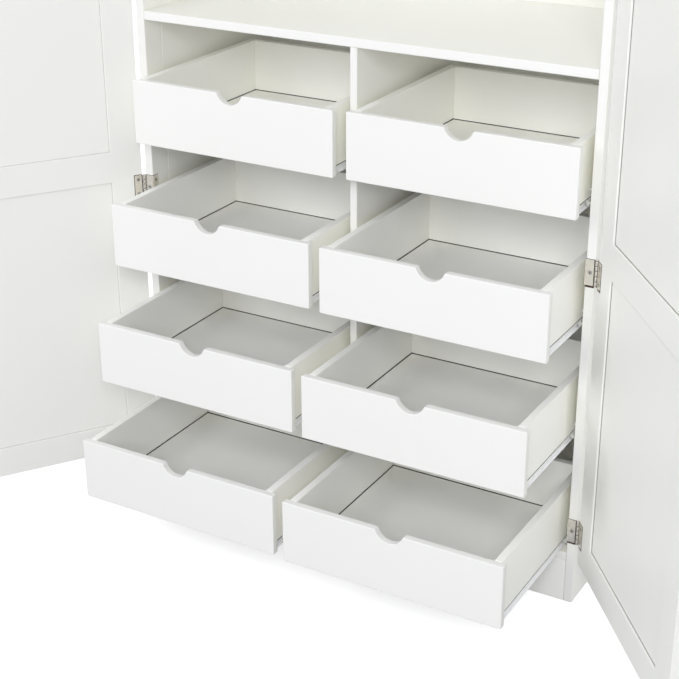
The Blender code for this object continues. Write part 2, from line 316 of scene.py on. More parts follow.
# Joint caps: pressed white plastic caps, 12 mm across, over the connecting screws that hold the top, the
# shelf and the bottom to the sides from outside. Each has a low dome and a rolled rim.
def add_piece(name, shapes, material, body, stands_for=()):
    """Makes one piece out of closed shapes. Each shape is a grid of rings times points round: neighbouring
    rings are joined with smooth quads, and the first and last ring are closed with a flat face."""
    spots, faces, smooth = [], [], []
    start = 0
    for shape in shapes:
        rings, around = shape.shape[:2]
        ring, turn = np.meshgrid(np.arange(rings - 1), np.arange(around), indexing="ij")
        first = start + ring * around + turn
        second = start + ring * around + (turn + 1) % around
        quads = np.stack([first, second, second + around, first + around], axis=-1).reshape(-1, 4)
        end = start + (rings - 1) * around
        faces += quads.tolist()
        faces += [list(range(start + around - 1, start - 1, -1)), list(range(end, end + around))]
        smooth += [True] * len(quads) + [False, False]
        spots.append(shape.reshape(-1, 3))
        start += rings * around
    mesh = bpy.data.meshes.new(name)
    mesh.from_pydata(np.concatenate(spots), [], faces)
    mesh.polygons.foreach_set("use_smooth", smooth)
    mesh.materials.append(material)
    piece = bpy.data.objects.new(name, mesh)
    bpy.context.scene.collection.objects.link(piece)
    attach(piece, body)
    if stands_for:
        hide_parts(*stands_for)
    return piece


def square_to(direction):
    """The direction as a unit vector, and two more that are square to it and to each other."""
    along = np.asarray(direction, float) / np.linalg.norm(direction)
    side = np.cross(along, (0.0, 0.0, 1.0) if abs(along[2]) < 0.9 else (1.0, 0.0, 0.0))
    side /= np.linalg.norm(side)
    return along, side, np.cross(along, side)


def turned(profile, origin, direction, around=24):
    """A turned shape: each (radius, distance) of the profile becomes a ring of that radius round the axis,
    that far along it, and the rings run anticlockwise as seen against the direction."""
    profile = np.asarray(profile, float)
    along, side, up = square_to(direction)
    angle = np.linspace(0.0, 2 * math.pi, around, endpoint=False)
    ring = np.cos(angle)[:, None] * side + np.sin(angle)[:, None] * up
    return np.asarray(origin) + profile[:, 1, None, None] * along + profile[:, 0, None, None] * ring


plastic_white = lacquer(
    "white_moulded_plastic",
    white=(0.84, 0.84, 0.82),
    shade=(0.82, 0.82, 0.80),
    painted_edge_shading=(0.88, 0.88, 0.86),
    corner=(0.66, 0.66, 0.62),
    sheen=0.34,
    peel=900.0,
    relief=0.00002,
    radius=0.0004,
)
cap_profile = [
    (0.0045, -0.0010),
    (0.0058, -0.0002),
    (0.0060, 0.0002),
    (0.0058, 0.0006),
    (0.0050, 0.0009),
    (0.0030, 0.0012),
    (0.0008, 0.0013),
]
cap_depths = (-0.190, 0.010, 0.205)
side_low, side_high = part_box("side_panel_left")
caps = []
for board_name in ("fixed_shelf", "bottom_panel"):
    low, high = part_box(board_name)
    for sign in (-1, 1):
        caps += [
            turned(cap_profile, (sign * abs(side_low.x), depth, (low.z + high.z) / 2), (sign, 0, 0))
            for depth in cap_depths
        ]
top_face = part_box("top_panel")[1].z
for sign in (-1, 1):
    middle = sign * (abs(side_low.x) + abs(side_high.x)) / 2
    caps += [turned(cap_profile, (middle, depth, top_face), (0, 0, 1)) for depth in cap_depths]
add_piece("joint_caps", caps, plastic_white, "carcass")


# Back: one sheet of hardboard, white foil inside and its bare brown face outside. It is let in between the
# sides and fixed with small flat-headed nails along its edges, the shelf and the divider.
back_sheet = bpy.data.materials.new("foiled_hardboard")
back_sheet.use_nodes = True
tree = back_sheet.node_tree
film = use(tree, spray, Peel=260.0)
corner_shade = use(tree, corner_shade_group, Reach=0.08)
place = node(tree, "TexCoord").outputs["Object"]
fibre = node(tree, "TexNoise", {"Vector": place, "Scale": 230.0, "Detail": 6.0, "Roughness": 0.7})
mesh_print = node(tree, "TexVoronoi", {"Vector": place, "Scale": 420.0}, feature="F1")
bare = mixed(tree, fibre.outputs["Fac"], (0.20, 0.105, 0.050), (0.33, 0.19, 0.10))
bare = mixed(tree, ranged(tree, film["Cloud"], 0.0, 1.0, 0.0, 0.35), bare, (0.24, 0.15, 0.085))
foil = mixed(tree, film["Cloud"], (0.878, 0.877, 0.840), (0.866, 0.865, 0.822))
# Painted shade: the foil is tinted darker where other surfaces come close.
foil = mixed(tree, ranged(tree, corner_shade["Depth"], 0.0, 1.0, 0.0, 0.5), foil, (0.845, 0.838, 0.752))
outward = node(tree, "SeparateXYZ", {0: node(tree, "NewGeometry").outputs["Normal"]}).outputs["Y"]
bare_side = ranged(tree, outward, 0.3, 0.6, 0.0, 1.0)
shader = tree.nodes["Principled BSDF"]
tree.links.new(mixed(tree, bare_side, foil, bare), shader.inputs["Base Color"])
tree.links.new(ranged(tree, bare_side, 0.0, 1.0, 0.45, 0.78), shader.inputs["Roughness"])
surface = node(
    tree,
    "Math",
    {0: bare_side, 1: mesh_print.outputs["Distance"], 2: film["Height"]},
    operation="MULTIPLY_ADD",
)
tree.links.new(
    node(tree, "Bump", {"Height": surface.outputs[0], "Strength": 0.5, "Distance": 0.0002}).outputs["Normal"],
    shader.inputs["Normal"],
)
paint(["back_panel"], back_sheet)


def bare_surface(name, colour, worn, rough, stretch, metallic=1.0):
    """Plated metal, or a bare face that is not metal: a fine grain, drawn out along the axes that are
    stretched least, clouds of wear, and painted shade, near black, where other surfaces come close."""
    made = bpy.data.materials.new(name)
    made.use_nodes = True
    tree = made.node_tree
    place = node(tree, "TexCoord").outputs["Object"]
    drawn = node(tree, "Mapping", {"Vector": place, "Scale": stretch})
    grain = node(tree, "TexNoise", {"Vector": drawn.outputs["Vector"], "Scale": 1.0, "Detail": 3.0})
    film = use(tree, spray, Peel=1500.0, Cloud=70.0)
    corner_shade = use(tree, corner_shade_group, Reach=0.008)
    edge = use(tree, eased, Radius=0.0005)
    shader = tree.nodes["Principled BSDF"]
    shader.inputs["Metallic"].default_value = metallic
    tone = mixed(tree, ranged(tree, grain.outputs["Fac"], 0.3, 0.7, 0.0, 0.8), colour, worn)
    tone = mixed(tree, ranged(tree, film["Cloud"], 0.0, 1.0, 0.0, 0.3), tone, worn)
    # Painted shade: near black wherever other surfaces come close, such as between knuckles and leaves.
    tone = mixed(tree, ranged(tree, corner_shade["Depth"], 0.0, 1.0, 0.0, 0.75), tone, [part * 0.07 for part in worn])
    tree.links.new(tone, shader.inputs["Base Color"])
    roughness = ranged(tree, grain.outputs["Fac"], 0.3, 0.7, rough - 0.05, rough + 0.09)
    tree.links.new(roughness, shader.inputs["Roughness"])
    tree.links.new(
        node(
            tree,
            "Bump",
            {"Height": grain.outputs["Fac"], "Normal": edge["Normal"], "Strength": 0.35, "Distance": 0.00004},
        ).outputs["Normal"],
        shader.inputs["Normal"],
    )
    return made


zinc = bare_surface("zinc_plated_steel", (0.70, 0.69, 0.66), (0.50, 0.49, 0.46), 0.32, (700.0, 700.0, 700.0))
nail_profile = [(0.0016, -0.0006), (0.0021, -0.0001), (0.0020, 0.0003), (0.0006, 0.0004)]
sheet_low, sheet_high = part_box("back_panel")
edge_in, nail_pitch = 0.009, 0.118
columns = round((sheet_high.x - sheet_low.x) / nail_pitch)
rows = round((sheet_high.z - sheet_low.z) / nail_pitch)
across = np.linspace(sheet_low.x + edge_in, sheet_high.x - edge_in, columns)
upward = np.linspace(sheet_low.z + edge_in, sheet_high.z - edge_in, rows)
shelf_low, shelf_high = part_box("fixed_shelf")
shelf_line = (shelf_low.z + shelf_high.z) / 2
spots = [(x, z) for z in (sheet_low.z + edge_in, shelf_line, sheet_high.z - edge_in) for x in across]
spots += [(x, z) for x in (sheet_low.x + edge_in, sheet_high.x - edge_in) for z in upward[1:-1]]
spots += [(0.0, z) for z in upward[1:-1] if z < shelf_line - edge_in]
add_piece(
    "back_nails",
    [turned(nail_profile, (x, sheet_high.y, z), (0, 1, 0), around=8) for x, z in spots],
    zinc,
    "carcass",
)


# Hanging rail: a chromed steel tube, held at each end in a die-cast cup with two countersunk screws. The
# cups are screwed to the sides before the tube is dropped in.
def screw_heads(centres, direction, radius=0.0034, turn=0.4):
    """Countersunk heads with a cross recess. A head's height over its radius and angle is a shallow dome,
    less the depth of the recess wherever the spot lies within half its width of either arm."""
    centres = np.atleast_2d(np.asarray(centres, float))
    recess_arm, recess_half, recess_depth = 0.68 * radius, 0.20 * radius, 0.50 * radius
    dome, shank = 0.12 * radius, 0.25 * radius
    shares = np.concatenate([[1.0], np.linspace(1.0, 0.05, 11)])
    angle = np.linspace(0.0, 2 * math.pi, 32, endpoint=False)
    flat_x = radius * shares[:, None] * np.cos(angle)
    flat_y = radius * shares[:, None] * np.sin(angle)
    cut_x, cut_y = np.abs(flat_x), np.abs(flat_y)
    in_cross = np.minimum(cut_x, cut_y) < recess_half
    in_reach = np.maximum(cut_x, cut_y) < recess_arm
    height = dome * (1 - shares[:, None] ** 2) - recess_depth * (in_cross & in_reach)
    height[0] = -shank
    along, side, up = square_to(direction)
    arm_x = math.cos(turn) * side + math.sin(turn) * up
    arm_y = np.cross(along, arm_x)
    head = flat_x[..., None] * arm_x + flat_y[..., None] * arm_y + height[..., None] * along
    return [head + centre for centre in centres]


chrome = bare_surface("chromed_tube", (0.80, 0.81, 0.83), (0.66, 0.67, 0.69), 0.12, (9.0, 700.0, 700.0))
paint(["hanging_rail"], chrome)
tube_low, tube_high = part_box("hanging_rail")
tube_y, tube_z = (tube_low.y + tube_high.y) / 2, (tube_low.z + tube_high.z) / 2
tube_radius = (tube_high.z - tube_low.z) / 2
cup_profile = [
    (0.0200, 0.0000),
    (0.0225, 0.0002),
    (0.0230, 0.0010),
    (0.0225, 0.0024),
    (0.0205, 0.0032),
    (tube_radius + 0.0042, 0.0036),
    (tube_radius + 0.0032, 0.0046),
    (tube_radius + 0.0026, 0.0130),
    (tube_radius + 0.0018, 0.0142),
    (tube_radius + 0.0008, 0.0140),
    (tube_radius + 0.0004, 0.0130),
    (tube_radius + 0.0004, 0.0012),
]
wall_gap, seat_height, screw_reach = 0.0003, 0.0030, 0.0195
cups, cup_screws = [], []
for sign in (-1, 1):
    wall = sign * (abs(tube_high.x) + wall_gap)
    cups.append(turned(cup_profile, (wall, tube_y, tube_z), (-sign, 0, 0), around=40))
    seats = [(wall - sign * seat_height, tube_y + reach, tube_z) for reach in (-screw_reach, screw_reach)]
    cup_screws += screw_heads(seats, (-sign, 0, 0), 0.0026)
add_piece("hanging_rail_cups", cups, chrome, "carcass")
add_piece("hanging_rail_screws", cup_screws, zinc, "carcass")


# Cabinet rails: channels folded out of 1.2 mm steel sheet and powder-coated white, one on each wall of each
# drawer bay, with three screws through the web. A tab at the front end hangs down and holds a nylon roller,
# which reaches in under the drawer and carries its runner.
def rounded(corners, reach, steps=3):
    """An outline with rounded corners: each corner becomes the quadratic curve from reach before it to reach
    after it, and one more point beyond each end keeps the flat beside it flat in shading."""
    corners = np.asarray(corners, float)
    back = np.roll(corners, 1, axis=0) - corners
    onward = np.roll(corners, -1, axis=0) - corners
    back /= np.linalg.norm(back, axis=1, keepdims=True)
    onward /= np.linalg.norm(onward, axis=1, keepdims=True)
    t = np.linspace(0.0, 1.0, steps + 1)[None, :, None]
    start, middle, end = ((corners + way * reach)[:, None] for way in (back, 0.0 * back, onward))
    curve = (1 - t) ** 2 * start + 2 * t * (1 - t) * middle + t**2 * end
    before = start + back[:, None] * reach * 0.3
    after = end + onward[:, None] * reach * 0.3
    return np.concatenate([before, curve, after], axis=1).reshape(-1, 2)


def plate(outline, low, high, axis, ease, steps=3):
    """A plate with quarter-round rims. Its outline lies in the two axes that follow `axis` in the order x,
    y, z, x, and is carried from low to high along it. Near each end it moves inwards along its mitred
    normals by ease times (1 - sine), while it rises by ease times (1 - cosine)."""
    outline = np.asarray(outline, float)
    ahead = np.roll(outline, -1, axis=0)
    if np.sum(outline[:, 0] * ahead[:, 1] - outline[:, 1] * ahead[:, 0]) < 0:
        outline = outline[::-1]
        ahead = np.roll(outline, -1, axis=0)
    run = ahead - outline
    run /= np.linalg.norm(run, axis=1, keepdims=True)
    out = np.stack([run[:, 1], -run[:, 0]], axis=1)
    before = np.roll(out, 1, axis=0)
    mitre = (out + before) / (1 + np.sum(out * before, axis=1, keepdims=True))
    turn = np.linspace(0.0, math.pi / 2, steps + 1)
    inset, rise = ease * (1 - np.sin(turn)), ease * (1 - np.cos(turn))
    hold = min(0.4 * ease, (high - low - 2 * ease) / 4)
    inset = np.concatenate([inset, [0.0, 0.0], inset[::-1]])
    level = np.concatenate([low + rise, [low + ease + hold, high - ease - hold], high - rise[::-1]])
    shape = np.empty((len(level), len(outline), 3))
    flat = outline[None] - mitre[None] * inset[:, None, None]
    shape[..., (axis + 1) % 3] = flat[..., 0]
    shape[..., (axis + 2) % 3] = flat[..., 1]
    shape[..., axis] = level[:, None]
    return shape


def board(low, high, ease=0.0009):
    """A board between two corners: its two longer ways make the outline, its thinnest is the plate's."""
    axis = int(np.argmin(np.subtract(high, low)))
    i, j = (axis + 1) % 3, (axis + 2) % 3
    corners = [(low[i], low[j]), (high[i], low[j]), (high[i], high[j]), (low[i], high[j])]
    return plate(rounded(corners, 1.7 * ease), low[axis], high[axis], axis, ease)


def block(across, depth, height, ease):
    """A board from its two limits on each axis. Those across may come in either order, for either side."""
    x_low, x_high = sorted(across)
    return board((x_low, depth[0], height[0]), (x_high, depth[1], height[1]), ease)


coated_steel = lacquer(
    "white_powder_coat",
    white=(0.92, 0.925, 0.94),
    shade=(0.90, 0.905, 0.92),
    painted_edge_shading=(0.96, 0.965, 0.975),
    corner=(0.80, 0.80, 0.80),
    sheen=0.36,
    peel=700.0,
    relief=0.00005,
    radius=0.0006,
    corner_shade_reach=0.012,
)
nylon = lacquer(
    "white_nylon",
    white=(0.80, 0.80, 0.77),
    shade=(0.77, 0.77, 0.735),
    painted_edge_shading=(0.85, 0.85, 0.82),
    corner=(0.52, 0.52, 0.48),
    sheen=0.48,
    peel=1200.0,
    relief=0.00002,
    radius=0.0004,
)
drawer_names = [f"{column}_{row}" for column in ("left", "right") for row in (1, 2, 3, 4)]
sheet, fold, sheet_ease = 0.0012, 0.00045, 0.0002
roller_profile = [
    (0.0018, 0.0),
    (0.0062, 0.0002),
    (0.0066, 0.0007),
    (0.0072, 0.0009),
    (0.0079, 0.0012),
    (0.0080, 0.0017),
    (0.0080, 0.0053),
    (0.0079, 0.0058),
    (0.0072, 0.0061),
    (0.0066, 0.0063),
    (0.0062, 0.0068),
    (0.0032, 0.0070),
]
rivet_profile = [
    (0.0022, -0.0075),
    (0.0022, 0.0004),
    (0.0029, 0.0006),
    (0.0029, 0.0012),
    (0.0018, 0.0018),
    (0.0004, 0.0019),
]
roller_radius, front_roller_radius = 0.008, 0.0058
front_roller_profile = [
    (radius * front_roller_radius / roller_radius, along) for radius, along in roller_profile
]
front_roller_drop, front_roller_back, front_roller_under = 0.0090, 0.011, 0.0046
tab_length, tab_below, tab_lap = 0.026, 0.0078, 0.0030
rollers, rivets, rail_screws = [], [], []
for name in drawer_names:
    rails = []
    box_low, box_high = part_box(f"drawer_box_{name}")
    for side in ("left", "right"):
        low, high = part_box(f"slide_rail_{name}_{side}")
        inward = 1 if side == "left" else -1
        wall, lip = (low.x, high.x) if side == "left" else (high.x, low.x)
        web = wall + inward * sheet
        section = [
            (low.z, wall),
            (low.z, lip),
            (low.z + sheet, lip),
            (low.z + sheet, web),
            (high.z - sheet, web),
            (high.z - sheet, lip),
            (high.z, lip),
            (high.z, wall),
        ]
        rails.append(plate(rounded(section, fold), low.y, high.y, 1, sheet_ease))
        beside = box_low.x if side == "left" else box_high.x
        wheel_z = box_low.z - front_roller_drop
        wheel = (beside - inward * front_roller_under, low.y + front_roller_back, wheel_z)
        rollers.append(turned(front_roller_profile, wheel, (inward, 0, 0), around=28))
        pin = [(0.0034, 0.0), (0.0034, 0.0016), (0.0021, 0.0018), (0.0021, abs(wheel[0] - web) + 0.0066)]
        pin += [(0.0028, pin[-1][1] + 0.0002), (0.0026, pin[-1][1] + 0.0010), (0.0005, pin[-1][1] + 0.0014)]
        rivets.append(turned(pin, (web, wheel[1], wheel[2]), (inward, 0, 0), around=16))
        tab_height = (wheel_z - tab_below, low.z + tab_lap)
        rails.append(block((wall, web), (low.y + 0.0004, low.y + tab_length), tab_height, sheet_ease))
        seats = [(web, y, low.z + 0.012) for y in (low.y + 0.045, (low.y + high.y) / 2, high.y - 0.035)]
        rail_screws += screw_heads(seats, (inward, 0, 0), 0.0032)
    add_piece(
        f"cabinet_rails_{name}",
        rails,
        coated_steel,
        "carcass",
        [f"slide_rail_{name}_left", f"slide_rail_{name}_right"],
    )
add_piece("cabinet_rollers", rollers, nylon, "carcass")
add_piece("cabinet_roller_rivets", rivets, zinc, "carcass")
add_piece("cabinet_rail_screws", rail_screws, zinc, "carcass")


# Drawer boxes: two sides of 15 mm and a back of 14 mm foiled board, dowelled together, with a thin foiled
# sheet for the floor. The sheet is cut small, leaving a gap where it meets the sides and the back; dark
# strips in that gap and a dark sheet under the floor are painted shade.
# The foiled whites are paler than the lacquer's: the foil's own white, raised further as painted light that
# lifts the shade inside the drawers.
foil_board = lacquer(
    "white_foiled_board",
    white=(0.962, 0.961, 0.925),
    shade=(0.954, 0.953, 0.912),
    painted_edge_shading=(0.962, 0.962, 0.94),
    corner=(0.950, 0.945, 0.865),
    sheen=0.46,
    peel=520.0,
    relief=0.00004,
    radius=0.0022,
)
# The floor sheet's edge tone is darker than its white: painted shade along the sheet's eased edges.
floor_foil = lacquer(
    "white_foiled_sheet",
    white=(0.962, 0.961, 0.928),
    shade=(0.952, 0.951, 0.912),
    painted_edge_shading=(0.88, 0.88, 0.85),
    corner=(0.950, 0.945, 0.868),
    sheen=0.5,
    peel=300.0,
    relief=0.00005,
    radius=0.0012,
)
# A near-black finish for painted shade: dark pieces set in gaps, slots and countersinks where there is only
# shade.
gap_shadow = bare_surface(
    "painted_gap_shadow", (0.060, 0.056, 0.048), (0.040, 0.037, 0.032), 0.8, (90.0, 90.0, 90.0), metallic=0.0
)
box_side, box_back, floor_sheet, floor_gap, glue_gap = 0.015, 0.014, 0.004, 0.0017, 0.0003
strip_proud, strip_sunk, strip_rise, strip_ease = 0.0001, 0.0004, 0.0016, 0.00004
for name in drawer_names:
    low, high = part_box(f"drawer_box_{name}")
    inner_left, inner_right = low.x + box_side, high.x - box_side
    boards = [
        board((low.x, low.y, low.z), (inner_left, high.y, high.z)),
        board((inner_right, low.y, low.z), (high.x, high.y, high.z)),
        board(
            (inner_left + glue_gap, high.y - box_back, low.z),
            (inner_right - glue_gap, high.y - glue_gap, high.z - glue_gap),
        ),
    ]
    body = f"drawer_{name}"
    add_piece(f"drawer_box_boards_{name}", boards, foil_board, body, [f"drawer_box_{name}"])
    sheet_corners = (inner_left + floor_gap, low.y, low.z + 0.0008), (
        inner_right - floor_gap,
        high.y - box_back - floor_gap,
        low.z + floor_sheet,
    )
    add_piece(f"drawer_floor_{name}", [board(*sheet_corners, ease=0.0005)], floor_foil, body)
    back_face = high.y - box_back
    depth, height = (low.y, back_face), (low.z + 0.0001, low.z + floor_sheet + strip_rise)
    # Painted shade: dark strips standing in the gap round the floor sheet, and a thin dark sheet right under
    # it.
    floor_gap_shade_strips = [
        block((inner_left - strip_sunk, inner_left + strip_proud), depth, height, strip_ease),
        block((inner_right - strip_proud, inner_right + strip_sunk), depth, height, strip_ease),
        block(
            (inner_left, inner_right), (back_face - strip_proud, back_face + strip_sunk), height, strip_ease
        ),
        block((inner_left, inner_right), depth, (low.z + 0.0001, low.z + 0.0007), 0.0001),
    ]
    add_piece(f"drawer_floor_gap_shade_{name}", floor_gap_shade_strips, gap_shadow, body)


# Drawer runners: the moving half of each slide, a channel of the same coated sheet, open outwards. It is
# screwed up under the box side, with a narrow gap between them that holds a dark strip as painted shade,
# and rides on the cabinet's roller. A tab at its rear end stands up the box side and holds a roller, which
# runs inside the cabinet rail.
runner_joint, runner_drop, runner_depth, runner_proud = 0.0018, 0.0162, 0.0050, 0.0012
runner_front, runner_rear, joint_ease = 0.0015, 0.004, 0.0001
rear_tab, rear_tab_top, rear_roller, rear_roller_rise = (0.044, 0.008), 0.0130, 0.026, 0.0034
for name in drawer_names:
    low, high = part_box(f"drawer_box_{name}")
    runners, joint_shade_strips, wheels, pins = [], [], [], []
    top, bottom = low.z - runner_joint, low.z - runner_drop
    for edge, outward in ((low.x, -1), (high.x, 1)):
        lip, web = edge + outward * runner_proud, edge - outward * runner_depth
        section = [
            (top, web),
            (top, lip),
            (top - sheet, lip),
            (top - sheet, web + outward * sheet),
            (bottom + sheet, web + outward * sheet),
            (bottom + sheet, lip),
            (bottom, lip),
            (bottom, web),
        ]
        ends = (low.y + runner_front, high.y - runner_rear)
        runners.append(plate(rounded(section, fold), *ends, 1, sheet_ease))
        ends, height = (low.y + 0.001, high.y - runner_rear), (top + 0.0001, low.z - 0.0001)
        # Painted shade: a dark strip in the gap between the runner and the box side.
        joint_shade_strips.append(block((web, edge - outward * 0.0003), ends, height, joint_ease))
        face = edge + outward * 0.0001
        ends, height = [high.y - back for back in rear_tab], (top - 0.0004, low.z + rear_tab_top)
        runners.append(block((face, face + outward * sheet), ends, height, sheet_ease))
        wheel = (face + outward * (sheet + 0.0004), high.y - rear_roller, low.z + rear_roller_rise)
        wheels.append(turned(roller_profile, wheel, (outward, 0, 0), around=28))
        head = (wheel[0] + outward * 0.0068, wheel[1], wheel[2])
        pins.append(turned(rivet_profile, head, (outward, 0, 0), around=16))
    add_piece(f"drawer_runners_{name}", runners, coated_steel, f"drawer_{name}")
    add_piece(f"drawer_runner_joint_shade_{name}", joint_shade_strips, gap_shadow, f"drawer_{name}")
    add_piece(f"drawer_rollers_{name}", wheels, nylon, f"drawer_{name}")
    add_piece(f"drawer_roller_rivets_{name}", pins, zinc, f"drawer_{name}")


# Drawer fronts: 15 mm board with a round finger scoop routed out of the top edge, sprayed white all round.
# Each is screwed to its box from inside, and hangs a little below it to hide the runners.
def arc(centre, radius, start, end, steps):
    """Points on a circle's arc from one angle to the other."""
    angle = np.linspace(start, end, steps + 1)
    return np.stack([centre[0] + radius * np.cos(angle), centre[1] + radius * np.sin(angle)], axis=1)


# The fronts take a darker copy of the board lacquer: painted shade that tones down fronts facing the lamps.
front_white_painted_darker = lacquer(
    "white_lacquer_painted_darker_front",
    white=(0.845, 0.846, 0.826),
    shade=(0.836, 0.837, 0.815),
    painted_edge_shading=(0.890, 0.890, 0.872),
    corner=(0.83, 0.83, 0.79),
    sheen=0.38,
    radius=0.0024,
)
scoop_radius, scoop_rise, scoop_lip = 0.030, 0.008, 0.005
front_ease = 0.0014
reach, drop = scoop_radius + scoop_lip, scoop_rise + scoop_lip
lip_x = math.sqrt(reach**2 - drop**2)
lean = math.atan2(drop, lip_x)
for name in drawer_names:
    low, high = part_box(f"drawer_front_{name}")
    middle = (low.x + high.x) / 2
    corners = rounded(
        [(low.x, high.z), (high.x, high.z), (high.x, low.z), (low.x, low.z)], 1.7 * front_ease
    ).reshape(4, -1, 2)
    outline = np.concatenate(
        [
            corners[0],
            arc((middle - lip_x, high.z - scoop_lip), scoop_lip, math.pi / 2, lean, 8),
            arc((middle, high.z + scoop_rise), scoop_radius, math.pi + lean, 2 * math.pi - lean, 36)[1:-1],
            arc((middle + lip_x, high.z - scoop_lip), scoop_lip, math.pi - lean, math.pi / 2, 8),
            corners[1],
            corners[2],
            corners[3],
        ]
    )
    add_piece(
        f"scooped_front_{name}",
        [plate(outline[:, ::-1], low.y, high.y, 1, front_ease, steps=4)],
        front_white_painted_darker,
        f"drawer_{name}",
        [f"drawer_front_{name}"],
    )


# Doors: stiles and rails 66 mm wide and 18 mm thick round two flat 9 mm panels, all lacquered. The panels
# float in grooves; a thin dark line round each field on both faces is painted shade for the gap there.
# The doors' corner tint reaches only a few millimetres: painted shade in the recesses round the panels.
door_white = lacquer(
    "white_lacquered_door",
    white=(0.880, 0.881, 0.852),
    shade=(0.868, 0.869, 0.838),
    painted_edge_shading=(0.880, 0.881, 0.852),
    corner=(0.66, 0.66, 0.59),
    sheen=0.40,
    radius=0.0012,
    edge_shading_share=0.4,
    corner_shade_reach=0.006,
)
signs = {"left": -1, "right": 1}
for side in signs:
    door_nodes = [f"{kind}_{side}" for kind in ("door_frame", "door_panel_lower", "door_panel_upper")]
    paint(door_nodes, door_white)
opened = {"left": math.radians(123.7), "right": math.radians(128.5)}
pin_x, pin_y = 0.5035, -0.2415
door_face_in, door_face_out = -0.243, -0.261
stile, groove = 0.066, 0.0077
door_edge_out, door_edge_in = 0.4995, 0.001


def swung(shape, side):
    """A shape made as if its door were shut, turned about the hinge pins to where the door stands."""
    angle = signs[side] * opened[side]
    cosine, sine = math.cos(angle), math.sin(angle)
    turn = np.array([[cosine, -sine, 0.0], [sine, cosine, 0.0], [0.0, 0.0, 1.0]])
    pin = np.array([signs[side] * pin_x, pin_y, 0.0])
    return (shape - pin) @ turn.T + pin


# Painted shade: dark strips round each field, wider on the right door than on the left.
line_widths, line_proud, line_sunk = {"left": 0.0003, "right": 0.0010}, 0.00012, 0.0003
panel_middle, panel_half = (door_face_in + door_face_out) / 2, 0.0045
panel_in, panel_out = panel_middle + panel_half, panel_middle - panel_half
line_depths = ((panel_in - line_sunk, panel_in + line_proud), (panel_out - line_proud, panel_out + line_sunk))
for side, sign in signs.items():
    panel_shade_lines, line_width = [], line_widths[side]
    x_low, x_high = sorted((sign * (door_edge_out - stile), sign * (door_edge_in + stile)))
    for field in ("lower", "upper"):
        low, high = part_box(f"door_panel_{field}_{side}")
        z_low, z_high = low.z + groove, high.z - groove
        strips = [
            ((x_low, x_high), (z_low, z_low + line_width)),
            ((x_low, x_high), (z_high - line_width, z_high)),
            ((x_low, x_low + line_width), (z_low, z_high)),
            ((x_high - line_width, x_high), (z_low, z_high)),
        ]
        for depth in line_depths:
            panel_shade_lines += [swung(block(across, depth, height, 0.00005), side) for across, height in strips]
    add_piece(f"door_panel_shade_lines_{side}", panel_shade_lines, gap_shadow, f"door_{side}")


# Hinges: butt hinges in satin nickel that wrap round the post. The carcass leaf covers the post's front
# edge and turns onto its inner face; the other leaf lies on the door; five knuckles share one pin with
# button tips. All leaves sit in shallow mortises that show bare board round them, painted near black
# and reaching further below the leaves than above as painted shade. The pin, a slot strip beside the
# knuckles and a disc round each screw are near black too, as painted shade.
nickel = bare_surface(
    "satin_nickel_plate", (0.90, 0.86, 0.79), (0.68, 0.64, 0.58), 0.25, (700.0, 700.0, 90.0)
)
# Bare board far darker than raw fibreboard: the board's own brown, deepened into painted shade.
mortise_board_painted_dark = bare_surface(
    "bare_mortise_painted_dark", (0.050, 0.022, 0.014), (0.030, 0.012, 0.008), 0.85, (260.0, 260.0, 40.0), metallic=0.0
)
leaf, barrel, knuckles, knuckle_gap, pin_radius = 0.0012, 0.0030, 5, 0.0015, 0.0022
leaf_width, leaf_corner, leaf_ease, wrap_depth = 0.021, 0.0012, 0.0002, 0.0165
post_inner, post_outer, post_front = 0.482, 0.500, -0.240
slot_ease, mortise_ease, mortise_proud, mortise_sunk = 0.00003, 0.00005, 0.00012, 0.0008
tip_profile = [
    (0.0012, 0.0),
    (0.0026, 0.0001),
    (0.0031, 0.0007),
    (0.0029, 0.0014),
    (0.0018, 0.0019),
    (0.0004, 0.0021),
]


def countersink_shade_discs(centres, direction, radius=0.0041):
    """A dark disc a hair proud of the plate round each countersunk head: painted shade for its countersink.
    """
    ring = [(radius * 0.98, -0.0002), (radius, 0.0), (radius * 0.98, 0.00006)]
    return [turned(ring, centre, direction, around=32) for centre in centres]


def knuckle_profile(length):
    """A straight roll whose radius steps in by the easing at each end."""
    ease = 0.00035
    return [
        (barrel - ease, 0.0),
        (barrel - ease * 0.3, ease * 0.3),
        (barrel, ease),
        (barrel, length - ease),
        (barrel - ease * 0.3, length - ease * 0.3),
        (barrel - ease, length),
    ]


